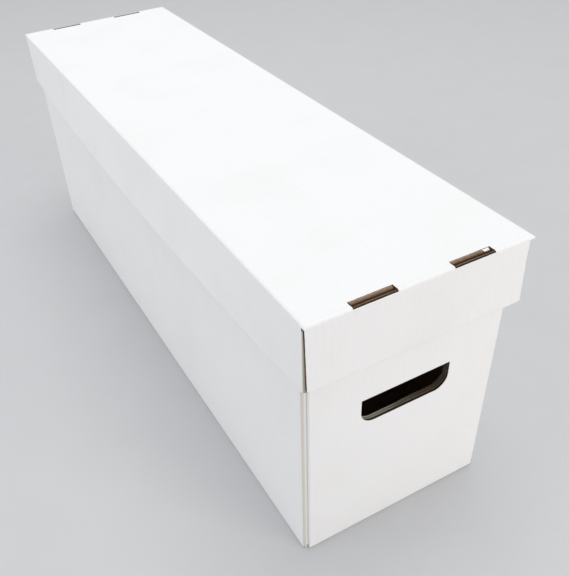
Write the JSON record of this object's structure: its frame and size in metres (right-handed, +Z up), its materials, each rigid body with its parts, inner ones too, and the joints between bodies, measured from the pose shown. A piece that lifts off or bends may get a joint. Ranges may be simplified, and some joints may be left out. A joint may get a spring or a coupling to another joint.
{
  "type": "comic book storage box",
  "caption": "Long lidded storage box in white corrugated board for comics on edge, with roll-over ends, hand holes and a lift-off telescoping lid.",
  "frame": {"origin": "on the floor under the middle of the tray", "axes": "+Z up, +Y along the box to its back end, +X across to its right side; the front end faces -Y"},
  "size_m": [0.2248, 0.748, 0.2791],
  "materials": {
    "tray_board": "white-lined corrugated board, matt, brown kraft inside",
    "flap_board": "white-lined corrugated board, die-cut flap",
    "lid_board": "white-lined corrugated board, matt, brown kraft inside"
  },
  "bodies": {
    "tray": {"tray_bottom": "tray_board", "tray_left_wall": "tray_board", "tray_right_wall": "tray_board", "tray_front_left_corner_flap": "tray_board", "tray_front_right_corner_flap": "tray_board", "tray_front_end_panel": "tray_board", "tray_front_rim": "tray_board", "tray_front_inner_panel": "tray_board", "tray_back_left_corner_flap": "tray_board", "tray_back_right_corner_flap": "tray_board", "tray_back_end_panel": "tray_board", "tray_back_rim": "tray_board", "tray_back_inner_panel": "tray_board"},
    "lid": {"lid_top": "lid_board", "lid_left_skirt": "lid_board", "lid_right_skirt": "lid_board", "lid_front_left_corner_flap": "lid_board", "lid_front_right_corner_flap": "lid_board", "lid_front_end_panel": "lid_board", "lid_front_rim": "lid_board", "lid_front_inner_panel": "lid_board", "lid_back_left_corner_flap": "lid_board", "lid_back_right_corner_flap": "lid_board", "lid_back_end_panel": "lid_board", "lid_back_rim": "lid_board", "lid_back_inner_panel": "lid_board"},
    "front_flap": {"front_hand_flap": "flap_board"},
    "front_inner_flap": {"front_inner_hand_flap": "flap_board"},
    "back_flap": {"back_hand_flap": "flap_board"},
    "back_inner_flap": {"back_inner_hand_flap": "flap_board"}
  },
  "joints": [
    {"name": "lid_lift", "type": "slide", "parent": "tray", "child": "lid", "axis": [0, 0, 1], "range_m": [0, 0.09]},
    {"name": "front_flap_hinge", "type": "hinge", "parent": "tray", "child": "front_flap", "pos_m": [0, -0.3614, 0.1684], "axis": [-1, 0, 0], "range_deg": [0, 90]},
    {"name": "front_inner_flap_hinge", "type": "hinge", "parent": "tray", "child": "front_inner_flap", "pos_m": [0, -0.3562, 0.1719], "axis": [-1, 0, 0], "range_deg": [0, 108]},
    {"name": "back_flap_hinge", "type": "hinge", "parent": "tray", "child": "back_flap", "pos_m": [0, 0.3614, 0.1684], "axis": [1, 0, 0], "range_deg": [0, 90]},
    {"name": "back_inner_flap_hinge", "type": "hinge", "parent": "tray", "child": "back_inner_flap", "pos_m": [0, 0.3562, 0.1719], "axis": [1, 0, 0], "range_deg": [0, 108]}
  ],
  "couplings": [
    {"joint": "front_inner_flap_hinge", "follows": "front_flap_hinge", "ratio": 1.2},
    {"joint": "back_inner_flap_hinge", "follows": "back_flap_hinge", "ratio": 1.2}
  ]
}
